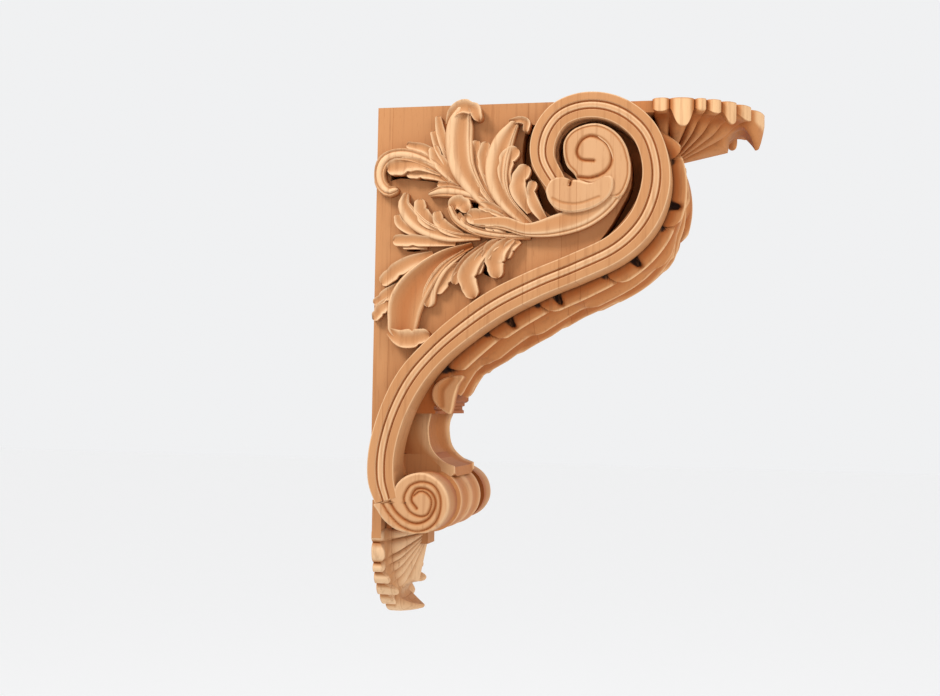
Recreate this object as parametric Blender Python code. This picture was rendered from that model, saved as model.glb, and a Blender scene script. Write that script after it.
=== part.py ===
"""A carved wooden corbel bracket: two scrolled cheeks, a leaf-faced core, a roll and two fan leaves.

The carving is drawn in units on the side view: U runs forward from the wall, and V up from the flat top.
HEIGHT sets how long a unit is. Widths across the bracket are real sizes of their own.
The origin is the middle of the flat back, where the bracket meets the wall: X across, -Y forward, +Z up.
"""

import math
from dataclasses import dataclass

import bmesh
import bpy
from mathutils import Vector

# Driving sizes in metres
HEIGHT = 0.602
WIDTH = 0.240
CHEEK_THICKNESS = 0.044
GROUND_DEPTH = 0.018
FIT_GAP = 0.0003
SLOT_DEPTH = 0.020
GROOVE_DEPTH = 0.003
CORE_LEAF_RISE = 0.020
NECK_WIDTH = 0.112
SCOOP_DEPTH = 0.008
CROWN_LEAF_RADIUS = 0.106
CROWN_LEAF_RIM = 0.014
CROWN_LEAF_DEPTH = 0.058
DROP_LEAF_RADIUS = 0.096
DROP_LEAF_RIM = 0.012
DROP_LEAF_DEPTH = 0.052
BACKING_WIDTH = 0.032

# The side view is drawn 602 units high over all
DRAWN_HEIGHT = 602
UNIT = HEIGHT / DRAWN_HEIGHT
BACK_FOOT = -440
TOP = -BACK_FOOT / 2 * UNIT
INNER_X = WIDTH / 2 - CHEEK_THICKNESS
GROUND_X = WIDTH / 2 - GROUND_DEPTH
CORE_HALF = INNER_X - FIT_GAP
BACKING_HALF = BACKING_WIDTH / 2
CLEAR = FIT_GAP / UNIT

# Places and lengths in units, and angles in degrees
SMALL_VOLUTE = (63, -457)
SMALL_VOLUTE_RADIUS = 33.5
ROLL_RADIUS = 37
ROLL_CENTER = (60, -458)
ROLL_COVE = 7
ROLL_FLUTES = 4
ROLL_FLUTE_DEPTH = 1.6
CORE_LEAF_FOOT = -318
LEAF_NOTCHES = (-70, -84, -125, -151, -183, -204, -225, -238, -253, -271, -306)
LEAF_SLANT = 10
BLOCK_FRONT = 74
BLOCK_STEP = -341
BLOCK_FOOT = -356
NECK_BACK = 24
NECK_FOOT = -404
CROWN_FOOT = 330
DROP_FOOT = -500
LOBE_SPREAD = 1.25
FAN_LOBES = (0, 20, 38, 51, 62, 70, 86, 97)
CURVE_STEPS = 4
SMOOTH_ANGLE = 35


@dataclass(frozen=True)
class Lobe:
    """One rounded lobe of a leaf: its spine, its widths from root to tip, and its height off the ground."""

    spine: tuple
    widths: tuple
    height: float


def across(u, v, x):
    """The world point that is drawn at u, v and lies x metres across the bracket."""
    return Vector((x, -u * UNIT, TOP + v * UNIT))


def smooth_path(points, steps=CURVE_STEPS):
    """Points of any size along a Catmull-Rom curve through the given ones."""
    first = tuple(2 * a - b for a, b in zip(points[0], points[1]))
    last = tuple(2 * a - b for a, b in zip(points[-1], points[-2]))
    chain = [first, *points, last]
    path = []
    for a, b, c, d in zip(chain, chain[1:], chain[2:], chain[3:]):
        for step in range(steps):
            t = step / steps
            path.append(tuple(
                q + t * ((r - p) + t * ((2 * p - 5 * q + 4 * r - s) + t * (3 * q - p - 3 * r + s))) / 2
                for p, q, r, s in zip(a, b, c, d)
            ))
    path.append(tuple(points[-1]))
    return path


def arc(center, radius, start, end, count):
    """Points of a circle's arc, with the angles in degrees."""
    angles = (math.radians(start + (end - start) * i / (count - 1)) for i in range(count))
    return [(center[0] + radius * math.cos(a), center[1] + radius * math.sin(a)) for a in angles]


def solid(name, rings):
    """A closed loft through rings of equally many points, with its first and last ring as end faces."""
    bm = bmesh.new()
    rows = [[bm.verts.new(point) for point in ring] for ring in rings]
    for row, following in zip(rows, rows[1:]):
        for i in range(len(row)):
            j = (i + 1) % len(row)
            bm.faces.new((row[i], row[j], following[j], following[i]))
    bm.faces.new(rows[0])
    bm.faces.new(rows[-1])
    bmesh.ops.recalc_face_normals(bm, faces=bm.faces)
    mesh = bpy.data.meshes.new(name)
    bm.to_mesh(mesh)
    bm.free()
    mesh.shade_smooth()
    mesh.set_sharp_from_angle(angle=math.radians(SMOOTH_ANGLE))
    return bpy.data.objects.new(name, mesh)


def slab(name, outline, low, high):
    """The outline, given in units, as a slab between two places across the bracket."""
    return solid(name, [[across(u, v, x) for u, v in outline] for x in (low, high)])


def ribbon(name, stations, section, side):
    """A carved strip along stations of u, v and width, on the cheek of the given side.

    The section lists how far across the strip each point lies, from -1 to 1, and its place across the bracket.
    """
    rings = []
    for i, (u, v, width) in enumerate(stations):
        before = stations[max(i - 1, 0)]
        after = stations[min(i + 1, len(stations) - 1)]
        along = Vector((after[0] - before[0], after[1] - before[1])).normalized()
        rings.append([
            across(u - along.y * t * width / 2, v + along.x * t * width / 2, side * x) for t, x in section
        ])
    return solid(name, rings)


def gather(name, objects, collection):
    """A hidden collection of solids that a Boolean takes together."""
    group = bpy.data.collections.new(name)
    collection.children.link(group)
    for item in objects:
        item.hide_render = True
        item.display_type = "WIRE"
        group.objects.link(item)
    return group


def volute_disc(name, low, high, extra=0.0):
    """The small volute's round, grown by some units, between two places across the bracket."""
    return slab(name, arc(SMALL_VOLUTE, SMALL_VOLUTE_RADIUS + extra, 0, 345, 24), low, high)


def boolean(target, operation, group):
    """Joins every solid of the group to the target, or cuts them all from it."""
    modifier = target.modifiers.new(operation.title(), "BOOLEAN")
    modifier.operation = operation
    modifier.operand_type = "COLLECTION"
    modifier.collection = group
    modifier.solver = "EXACT"
    modifier.use_self = True


# The cheek

def cheek_outline():
    """The ground board: along the wall and the top, then under the middle of the band from near its crown."""
    middle = [(u, v) for u, v, _ in smooth_path(band_stations(), 2)]
    return [(0, BACK_FOOT + 12), (0, 0), (206, 0), *middle[7:-2]]


def band_stations():
    """The scrolled band from under the bud, round the large volute and down to the small one."""
    return (
        (214, -92, 26), (200, -67, 30), (202, -42, 32), (216, -21, 32), (240, -10, 31), (268, -11, 30),
        (294, -23, 29), (314, -45, 29), (324, -78, 30), (322, -110, 32), (308, -142, 32), (280, -169, 31),
        (236, -190, 31), (192, -208, 31), (146, -231, 32), (106, -259, 31), (74, -287, 30), (48, -318, 32),
        (29, -356, 31), (18, -396, 31), (17, -430, 31), (26, -460, 26), (42, -478, 20), (62, -484, 13),
    )


def scroll_stations():
    """The leaf's stem, which winds up inside the large volute."""
    return (
        (120, -138, 8), (153, -139, 15), (181, -147, 15), (215, -146, 18), (250, -133, 21), (276, -108, 21),
        (285, -76, 19), (276, -49, 13), (254, -38, 12), (234, -45, 11), (226, -60, 10), (234, -78, 12),
        (250, -84, 12), (264, -73, 13), (262, -58, 10), (249, -52, 8), (241, -60, 7), (246, -69, 6),
    )


def leaves():
    """The acanthus leaves of the cheek, leaf by leaf."""
    scroll_leaf = (
        Lobe(((90, -90), (60, -66), (29, -58), (9, -68), (9, -91), (24, -99)), (7, 13, 11), 15),
        Lobe(((78, -65), (60, -52), (41, -47)), (7, 9, 7), 12),
        Lobe(((80, -80), (53, -70), (23, -73)), (6, 18, 15), 15),
        Lobe(((87, -88), (68, -82), (44, -79)), (5, 12, 11), 13),
        Lobe(((145, -120), (109, -106), (68, -104)), (5, 12, 6), 13),
    )
    tall_leaf = (
        Lobe(((149, -130), (125, -106), (103, -62), (101, -25), (105, -11)), (9, 28, 18), 15),
        Lobe(((96, -11), (106, -5), (118, -6), (123, -19)), (8, 12, 7), 18),
        Lobe(((99, -84), (86, -56), (75, -17)), (6, 9, 6), 12),
        Lobe(((97, -84), (81, -60), (70, -34)), (6, 9, 7), 11),
        Lobe(((102, -93), (88, -79), (71, -54)), (6, 14, 11), 13),
        Lobe(((137, -107), (120, -75), (120, -48)), (6, 12, 9), 12),
        Lobe(((147, -120), (135, -104), (126, -86)), (6, 12, 9), 13),
    )
    near_leaf = (
        Lobe(((184, -143), (158, -118), (145, -80), (152, -46), (163, -28)), (9, 24, 11), 15),
        Lobe(((144, -112), (131, -80), (131, -50)), (5, 11, 9), 13),
        Lobe(((163, -113), (154, -85), (163, -59)), (7, 16, 14), 14),
        Lobe(((183, -127), (170, -100), (176, -80)), (6, 16, 14), 14),
        Lobe(((201, -138), (187, -113), (186, -96)), (6, 11, 9), 13),
    )
    stem_leaf = (
        Lobe(((184, -154), (142, -152), (99, -135), (93, -121), (105, -115)), (6, 9, 12), 14),
        Lobe(((131, -149), (118, -142), (110, -134)), (7, 11, 12), 12),
        Lobe(((166, -135), (149, -127), (128, -119)), (7, 11, 8), 13),
        Lobe(((163, -143), (146, -135), (118, -131)), (7, 18, 15), 14),
    )
    side_leaf = (
        Lobe(((126, -155), (91, -153), (55, -139), (38, -105)), (5, 18, 8), 12),
        Lobe(((82, -145), (63, -132), (55, -115)), (6, 13, 12), 12),
        Lobe(((105, -152), (85, -141), (76, -128)), (6, 12, 9), 12),
        Lobe(((62, -152), (40, -144), (28, -130)), (6, 9, 7), 9),
        Lobe(((97, -161), (60, -158), (29, -157)), (5, 12, 11), 11),
    )
    bowl_leaf = (
        Lobe(((117, -163), (84, -178), (51, -212), (37, -256)), (6, 38, 34), 13),
        Lobe(((21, -262), (36, -270), (51, -270), (63, -267)), (7, 18, 13), 17),
        Lobe(((71, -173), (40, -185), (15, -203)), (6, 15, 12), 11),
        Lobe(((36, -208), (17, -220), (5, -228)), (9, 12, 8), 9),
        Lobe(((25, -224), (12, -235), (4, -245)), (9, 12, 9), 10),
    )
    lower_leaf = (
        Lobe(((135, -160), (110, -182), (98, -204)), (4, 9, 8), 11),
        Lobe(((145, -157), (117, -189), (118, -217)), (5, 18, 14), 14),
        Lobe(((142, -161), (128, -179), (124, -192)), (5, 11, 9), 12),
        Lobe(((164, -156), (148, -173), (146, -194)), (7, 18, 14), 15),
    )
    bud = (Lobe(((260, -110), (236, -111), (205, -100)), (19, 30, 19), 17),)
    return scroll_leaf + tall_leaf + near_leaf + stem_leaf + side_leaf + bowl_leaf + lower_leaf + bud


def slots():
    """The deep cuts between the leaves: stations of u, v and width."""
    return (
        ((274, -146, 7), (296, -116, 11), (302, -76, 11), (285, -38, 11), (250, -26, 7), (224, -38, 6),
         (217, -62, 7), (224, -79, 7)),
        ((182, -25, 9), (177, -55, 10), (188, -90, 8), (202, -120, 10), (222, -130, 6)),
        ((17, -81, 9), (47, -84, 4), (92, -93, 6)),
        ((114, -93, 5), (145, -120, 5)),
        ((137, -159, 3), (126, -182, 8), (140, -198, 4)),
    )


def lobe_solid(index, lobe, side):
    """A lobe as a low rounded ridge, narrow at its root and round at its tip."""
    root, belly, tip = lobe.widths
    spine = lobe.spine
    last = len(spine) - 1
    stations = []
    for i, (u, v) in enumerate(spine):
        t = i / last
        width = root + (belly - root) * math.sin(math.pi / 2 * min(t / 0.5, 1))
        width += (tip - belly) * max(t - 0.5, 0) / 0.5
        stations.append((u, v, width * LOBE_SPREAD))
    end = Vector(stations[-1][:2])
    ahead = (end - Vector(stations[-2][:2])).normalized() * tip * 0.4
    stations.append((*(end + ahead), tip * 0.45))
    foot = GROUND_X - 3 * UNIT
    shoulder = GROUND_X + lobe.height * 0.8 * UNIT
    crest = GROUND_X + lobe.height * UNIT
    section = ((-1, foot), (-0.65, shoulder), (0.4, crest), (1, foot))
    return ribbon(f"lobe_{index}", stations, section, side)


def cheek(name, side, cutters):
    """One cheek: a board with the scrolled band, the leaves and the small volute standing up from it."""
    face = WIDTH / 2
    cove = face - GROOVE_DEPTH
    bead = face - GROOVE_DEPTH / 3
    board = slab(name, cheek_outline(), side * INNER_X, side * GROUND_X)
    profile = ((1, INNER_X), (1, face), (0.3, face), (0.15, cove), (0.02, bead), (-0.1, bead), (-0.25, cove),
               (-0.4, face), (-1, face), (-1, INNER_X))
    band = ribbon("band", smooth_path(band_stations(), 2), profile, side)
    disc = volute_disc("disc", side * INNER_X, side * (face - GROOVE_DEPTH / 6))
    low, high = GROUND_X - 3 * UNIT, GROUND_X + 13 * UNIT
    scroll_section = ((-1, low), (-0.85, high), (0, high + 3 * UNIT), (0.85, high), (1, low))
    scroll = ribbon("scroll", smooth_path(scroll_stations(), 2), scroll_section, side)
    raised = [band, disc, scroll, *(lobe_solid(i, lobe, side) for i, lobe in enumerate(leaves()))]
    boolean(board, "UNION", gather(f"{name}_raised", raised, cutters))
    floor, above = GROUND_X - SLOT_DEPTH, face + GROUND_DEPTH
    deep = ((-1, floor), (-1, above), (1, above), (1, floor))
    cuts = [ribbon(f"slot_{i}", slot, deep, side) for i, slot in enumerate(slots())]
    shallow = ((0, face - GROOVE_DEPTH), (-1, above), (1, above))
    cuts.append(ribbon("volute_groove", volute_groove(), shallow, side))
    boolean(board, "DIFFERENCE", gather(f"{name}_slots", cuts, cutters))
    return board


def volute_groove():
    """The groove that winds into the small volute's eye, as stations."""
    turns, steps = 1.4, 20
    stations = []
    for i in range(steps + 1):
        t = i / steps
        angle = math.radians(200 + 360 * turns * t)
        radius = SMALL_VOLUTE_RADIUS * (0.78 - 0.46 * t)
        u = SMALL_VOLUTE[0] + radius * math.cos(angle)
        v = SMALL_VOLUTE[1] + radius * math.sin(angle)
        stations.append((u, v, 14))
    return stations


# The core between the cheeks

def band_edge(extra=0.0):
    """The band's outer edge, moved out by some units: over the large volute and down the front."""
    stations = smooth_path(band_stations(), 3)
    edge = []
    for before, (u, v, width), after in zip(stations, stations[1:], stations[2:]):
        along = Vector((after[0] - before[0], after[1] - before[1])).normalized()
        reach = width / 2 + extra
        edge.append((u - along.y * reach, v + along.x * reach))
    return edge


def front_edge(foot, extra=0.0):
    """The band's outer edge from the large volute's crown down to a height of foot."""
    edge = band_edge(extra)
    crown = max(range(len(edge)), key=lambda i: edge[i][1])
    return [(u, v) for u, v in edge[crown:] if v > foot]


def core_front():
    """The core's front from the flat top down to the leaf's lower end, level with the cheeks' edge."""
    below_top = [(u, v) for u, v in front_edge(CORE_LEAF_FOOT) if v < -4]
    return [(282, 0), *below_top]


def leaf_stations():
    """Where the front leaf's sections lie in height, and how far each stands out of its lobe's notch."""
    stations = []
    for top, foot in zip(LEAF_NOTCHES, LEAF_NOTCHES[1:]):
        for share, swell in ((0.0, 0.1), (0.14, 0.8), (0.5, 1.0), (0.86, 0.85)):
            stations.append((top + (foot - top) * share, swell))
    stations.append((LEAF_NOTCHES[-1], 0.1))
    return stations


def point_at(front, v):
    """The point of the front at a height, and the way that it faces there."""
    for (u0, v0), (u1, v1) in zip(front, front[1:]):
        if v0 >= v >= v1:
            t = (v0 - v) / (v0 - v1)
            along = Vector((u1 - u0, v1 - v0)).normalized()
            return u0 + (u1 - u0) * t, v, -along.y, along.x
    return front[-1][0], front[-1][1], 1, 0


def leaf_face(front, share, fullness):
    """One section of the front leaf, at a share of the way from its rib to its edge."""
    edge = share ** 0.7
    top, foot = LEAF_NOTCHES[0], LEAF_NOTCHES[-1]
    middle = (top + foot) / 2
    face = []
    for height, swell in leaf_stations():
        u, v, forward, down = point_at(front, height - LEAF_SLANT * (1 - share))
        reach = max(1 - abs((v - middle) / (top - middle)) ** 3, 0)
        rise = CORE_LEAF_RISE / UNIT * fullness * (0.35 + 0.65 * reach) * (swell * edge + 1 - edge)
        face.append((u + forward * rise, v + down * rise))
    return face


def neck_face(x):
    """One section of the neck: a hollow gutter between two lips, and a plain back beside them."""
    half = NECK_WIDTH / 2
    if abs(x) > half:
        steps = 9
        return [(NECK_BACK, BLOCK_FOOT + (NECK_FOOT - BLOCK_FOOT) * i / steps) for i in range(steps)]
    bow = 1 - (x / half) ** 2
    hollow = SCOOP_DEPTH / UNIT * bow
    lip = ((57, BLOCK_FOOT), (57, -376), (59, -394), (65, -405), (72, -412), (80, -416), (88, -416))
    shaped = [(u - hollow * (1 - i / 7), v - hollow * 0.3 * i / 6) for i, (u, v) in enumerate(lip)]
    return [*shaped, (86, NECK_FOOT - 20 - 6 * bow), (72, -418)]


def core():
    """The core block: the front leaf between the cheeks, the moulded block under it and the hollow neck."""
    front = core_front()
    half = NECK_WIDTH / 2
    sections = (
        (CORE_HALF, 0), (CORE_HALF * 0.94, 0.9), (half + 0.0015, 1), (half, 1), (half * 0.6, 0.75),
        (half * 0.17, 0.95),
    )
    sections = [(-x, full) for x, full in sections] + [(0, 1.05)] + list(reversed(sections))
    rings = []
    for x, fullness in sections:
        leaf = leaf_face(front, abs(x) / CORE_HALF, fullness)
        lower = BLOCK_FRONT - 4
        block = [(BLOCK_FRONT, CORE_LEAF_FOOT - 6), (BLOCK_FRONT, BLOCK_STEP + 1), (lower, BLOCK_STEP - 1),
                 (lower, BLOCK_FOOT)]
        foot = 56 if abs(x) <= half else NECK_BACK
        outline = [(0, NECK_FOOT), (0, 0), *front[:4], *leaf, *block, *neck_face(x), (foot, NECK_FOOT)]
        rings.append([across(u, v, x) for u, v in outline])
    return solid("leaf_core", rings)


def roll(name, extra=0.0):
    """The roll between the small volutes, with a cove at each end, grown by some units for a clear room."""
    half = NECK_WIDTH / 2
    cove = half + (CORE_HALF - half) * 0.4
    seat_half = half - 10 * FIT_GAP
    ends = [
        (CORE_HALF, ROLL_RADIUS - ROLL_COVE, False), (cove, ROLL_RADIUS - ROLL_COVE * 0.7, False),
        (half, ROLL_RADIUS, False), (seat_half, ROLL_RADIUS, True),
    ]
    stations = [(-x, radius, tall) for x, radius, tall in ends]
    steps = ROLL_FLUTES * 2
    for i in range(1, steps):
        dip = ROLL_FLUTE_DEPTH if i % 2 else ROLL_FLUTE_DEPTH / 4
        stations.append((-seat_half + 2 * seat_half * i / steps, ROLL_RADIUS - dip, True))
    stations += reversed(ends)
    low, seat = ROLL_CENTER[1] - ROLL_RADIUS * 0.9, NECK_FOOT - CLEAR
    rings = []
    for x, radius, tall in stations:
        shoulder = seat if tall else ROLL_CENTER[1] + radius * 0.9
        front = arc(ROLL_CENTER, radius + extra, 70, -100, 13)
        step = 52 if tall else 30
        back = [(-extra, low - extra), (-extra, seat + extra)]
        back += [(NECK_BACK, seat + extra), (step, shoulder + extra)]
        rings.append([across(u, v, x) for u, v in (*back, *front)])
    return solid(name, rings)


# The two fan leaves

def fan(name, radius, rim, depth, place):
    """A leaf that spreads as a half circle from its foot and curls over at its tip.

    Each lobe is a rib between two grooves. The place function takes a point's distance forward of the foot,
    its distance across and its depth below the leaf's flat side, all in metres.
    """
    half = [(0, 1.0)]
    for low, high in zip(FAN_LOBES, FAN_LOBES[1:]):
        half += [((low + high) / 2, 1.0), (high, 0.0)]
    fans = [(-angle, crest) for angle, crest in reversed(half[1:])] + half
    rings = []
    for angle, crest in fans:
        turn = math.radians(angle)
        tip = max(0.0, 1 - abs(angle) / FAN_LOBES[1])
        reach = radius * (1 - 0.06 * (1 - crest)) * (1 + 0.05 * tip)
        ring = [(0.12, 0.0), (1.0, 0.0)]
        for share in (1.0, 0.87, 0.7, 0.4, 0.12):
            side = rim + (depth - rim) * (1 - share) ** 0.8
            under = side * (1 - tip) + tip * tip_depth(share, depth, rim) - 0.004 * (1 - crest) * share
            ring.append((share, max(under, rim * 0.5)))
        ahead, aside = reach * math.cos(turn), reach * math.sin(turn)
        rings.append([place(share * ahead, share * aside, down) for share, down in ring])
    return solid(name, rings)


def crown_leaf(cutters):
    """The leaf that stands forward from the top, fitted over the fronts of the large volutes."""
    def place(forward, sideways, down):
        return across(CROWN_FOOT, 0, sideways) + Vector((0, -forward, -down))
    leaf = fan("crown_leaf", CROWN_LEAF_RADIUS, CROWN_LEAF_RIM, CROWN_LEAF_DEPTH, place)
    low = -CROWN_LEAF_DEPTH * 0.92 / UNIT
    rim = -CROWN_LEAF_RIM * 0.97 / UNIT
    plug = [(290, 0), (CROWN_FOOT + 16, 0), (CROWN_FOOT + 16, low), (290, low)]
    yoke = [(290, 0), (CROWN_FOOT + 1, 0), (CROWN_FOOT + 1, rim), (290, rim)]
    spread = CROWN_LEAF_RADIUS * 0.9
    backing = [slab("crown_plug", plug, -BACKING_HALF, BACKING_HALF), slab("crown_yoke", yoke, -spread, spread)]
    boolean(leaf, "UNION", gather("crown_backing", backing, cutters))
    edge = front_edge(-130, CLEAR)
    room = slab("volute_room", [*edge, (200, -130), (200, edge[0][1])], -WIDTH, WIDTH)
    boolean(leaf, "DIFFERENCE", gather("crown_room", [room], cutters))
    return leaf


def drop_leaf(cutters):
    """The leaf that hangs below the roll with its flat side on the wall."""
    def place(forward, sideways, down):
        return across(0, DROP_FOOT, sideways) + Vector((0, -down, -forward))
    leaf = fan("drop_leaf", DROP_LEAF_RADIUS, DROP_LEAF_RIM, DROP_LEAF_DEPTH, place)
    deep = DROP_LEAF_DEPTH * 0.92 / UNIT
    rim = DROP_LEAF_RIM * 0.97 / UNIT
    top = SMALL_VOLUTE[1]
    plug = [(0, top), (deep, top), (deep, DROP_FOOT - 14), (0, DROP_FOOT - 14)]
    yoke = [(0, top), (rim, top), (rim, DROP_FOOT - 1), (0, DROP_FOOT - 1)]
    spread = DROP_LEAF_RADIUS * 0.98
    backing = [slab("drop_plug", plug, -BACKING_HALF, BACKING_HALF), slab("drop_yoke", yoke, -spread, spread)]
    boolean(leaf, "UNION", gather("drop_backing", backing, cutters))
    rooms = [roll("roll_room", 3 * CLEAR)]
    near, wide = INNER_X - 2 * FIT_GAP, WIDTH / 2
    foot = band_stations()[-9:]
    for side in (-1, 1):
        around = ((-1, near), (-1, wide), (1, wide), (1, near))
        grown = [(u, v, width + 2 * CLEAR) for u, v, width in smooth_path(foot, 2)]
        rooms.append(ribbon(f"band_room_{side}", grown, around, side))
        rooms.append(volute_disc(f"disc_room_{side}", side * near, side * wide, CLEAR))
    boolean(leaf, "DIFFERENCE", gather("drop_room", rooms, cutters))
    return leaf


def tip_depth(share, depth, rim):
    """The leaf's underside along its rib: down the rib, up into the hollow, then down into the curled tip."""
    if share < 0.7:
        return depth * (1 - 0.4 * share)
    if share < 0.85:
        return rim * 1.8
    return depth * 0.62


def material(name, color, roughness):
    """A plain wood finish."""
    wood = bpy.data.materials.new(name)
    wood.use_nodes = True
    shader = wood.node_tree.nodes["Principled BSDF"]
    shader.inputs["Base Color"].default_value = (*color, 1)
    shader.inputs["Roughness"].default_value = roughness
    shader.inputs["Metallic"].default_value = 0
    return wood


def build():
    """Builds every piece of the corbel in its own named object."""
    for item in list(bpy.data.objects):
        bpy.data.objects.remove(item, do_unlink=True)
    parts = bpy.data.collections.new("corbel_bracket")
    cutters = bpy.data.collections.new("cutters")
    bpy.context.scene.collection.children.link(parts)
    bpy.context.scene.collection.children.link(cutters)
    tan = material("carved_wood", (0.52, 0.31, 0.15), 0.5)
    shaded = material("core_wood", (0.47, 0.25, 0.11), 0.55)
    pieces = (
        (cheek("left_cheek", -1, cutters), tan),
        (cheek("right_cheek", 1, cutters), tan),
        (core(), shaded),
        (roll("roll_block"), tan),
        (crown_leaf(cutters), tan),
        (drop_leaf(cutters), tan),
    )
    for piece, wood in pieces:
        parts.objects.link(piece)
        piece.data.materials.append(wood)


build()
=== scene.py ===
"""A carved wooden corbel bracket, dressed for its photograph.

The carving is drawn on the cheek's side view, in millimetres: u runs forward from the wall and v up from the flat
top. Carved lobes, bands and fans have no face that a primitive could start from, so they are lofted in mesh code.
Boards, blocks, the floor and the openings are made with Blender's own operators and modifiers.
"""

import logging
import math
from collections.abc import Callable, Sequence
from dataclasses import dataclass
from enum import Enum

import bmesh
import bpy
import numpy as np
from mathutils import Matrix, Vector


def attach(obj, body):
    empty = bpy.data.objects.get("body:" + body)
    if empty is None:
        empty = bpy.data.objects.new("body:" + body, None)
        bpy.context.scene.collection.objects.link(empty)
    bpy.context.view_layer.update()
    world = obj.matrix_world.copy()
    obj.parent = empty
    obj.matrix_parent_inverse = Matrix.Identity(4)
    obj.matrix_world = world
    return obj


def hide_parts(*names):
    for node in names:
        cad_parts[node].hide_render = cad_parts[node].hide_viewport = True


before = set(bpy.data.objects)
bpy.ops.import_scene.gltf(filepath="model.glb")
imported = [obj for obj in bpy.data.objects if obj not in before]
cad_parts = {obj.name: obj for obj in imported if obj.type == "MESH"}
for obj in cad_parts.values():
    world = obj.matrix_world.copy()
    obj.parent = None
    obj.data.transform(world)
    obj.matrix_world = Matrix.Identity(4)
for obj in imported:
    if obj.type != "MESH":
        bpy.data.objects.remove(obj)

LOG = logging.getLogger("corbel")
MM = 0.001
TOP_Z = 0.220  # The flat top's height in the frame, in metres.

# Distances across the bracket from its middle, in millimetres.
FACE_X = 120.0  # The scrolled band's face.
GROUND_X = 102.0  # The flat ground between the leaves.
INNER_X = 76.3  # A cheek's inner face.
CORE_HALF = 75.7  # The sides of the core and the roll.

SET_IN = 4.0  # How deep lobes and plates are set into the ground.
WALL_GAP = 0.3  # Painted light on a plain flat face, between painted shade and a painted highlight.
FLAT_FACE_LIGHT = 0.5  # How exposed a plain flat face is.
STEPS_BETWEEN = 16  # Steps of a smooth path between two stations.
SHARP_EDGE = 38  # Edges sharper than this, in degrees, stay crisp.

# The rings of a lobe, of its rounded tip and of a web, and the points across a web.
LOBE_RINGS, NOSE_RINGS, WEB_RINGS, WEB_POINTS = 30, 6, 20, 9
CLOSE_SPREAD, BROAD_SPREAD = 1.25, 1.10  # How much wider than drawn a lobe is carved, to overlap its neighbour.
NOTCHED_WIDTH, NOTCH_REACH = 11, 0.045  # A lobe this wide has notches, and this share of its length is one's reach.

MIX_INPUTS, MIX_RESULT = (0, 6, 7), 2  # The Mix node's sockets for the factor, two colours and the mixed colour.

Stations = Sequence[tuple[float, ...]]
Colour = tuple[float, float, float]


# Drawing

def place(u: float | np.ndarray, v: float | np.ndarray, x: float | np.ndarray) -> np.ndarray:
    """Turns drawn places into points of the frame.

    Args:
        u: Distance forward from the wall, in millimetres.
        v: Height over the flat top, in millimetres.
        x: Distance across the bracket from its middle, in millimetres.

    Returns:
        The points in metres, with their coordinates on the last axis.
    """
    u, v, x = np.broadcast_arrays(u, v, x)
    return np.stack([x * MM, -u * MM, v * MM + TOP_Z], axis=-1)


def smooth_path(stations: Stations, count: int) -> np.ndarray:
    """Draws a smooth curve through stations and walks it in even steps.

    Args:
        stations: Rows of u, v and any further values that change along the curve.
        count: How many rows to return.

    Returns:
        Rows of the same values, evenly spaced along u and v.
    """
    rows = np.array(stations, float)
    chain = np.vstack([2 * rows[0] - rows[1], rows, 2 * rows[-1] - rows[-2]])
    fine = []
    for a, b, c, d in zip(chain, chain[1:], chain[2:], chain[3:]):
        for t in np.linspace(0, 1, STEPS_BETWEEN, endpoint=False):
            fine.append(b + t * ((c - a) + t * ((2 * a - 5 * b + 4 * c - d) + t * (3 * b - a - 3 * c + d))) / 2)
    fine = np.array([*fine, rows[-1]])
    length = np.concatenate([[0], np.cumsum(np.hypot(*np.diff(fine[:, :2], axis=0).T))])
    even = np.linspace(0, length[-1], count)
    return np.column_stack([np.interp(even, length, column) for column in fine.T])


def directions(path: np.ndarray) -> np.ndarray:
    """Gives the unit direction along u and v at each row of a path."""
    ahead = np.gradient(path[:, :2], axis=0)
    return ahead / np.linalg.norm(ahead, axis=1, keepdims=True)


def ease(low: float, high: float, value: float | np.ndarray) -> float | np.ndarray:
    """Rises smoothly from 0 at low to 1 at high."""
    t = np.clip((value - low) / (high - low), 0, 1)
    return t * t * (3 - 2 * t)


def bell(value: float | np.ndarray, middle: float | np.ndarray, reach: float) -> float | np.ndarray:
    """Gives a soft bump of height 1 around a middle."""
    return np.exp(-((value - middle) / reach) ** 2)


# Meshes

def paint_light(mesh: bpy.types.Mesh, values: Sequence[float] | np.ndarray) -> None:
    """Writes down the painted light and shade of each point of a mesh."""
    mesh.attributes.new("painted_light", "FLOAT", "POINT").data.foreach_set("value", values)


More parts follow.
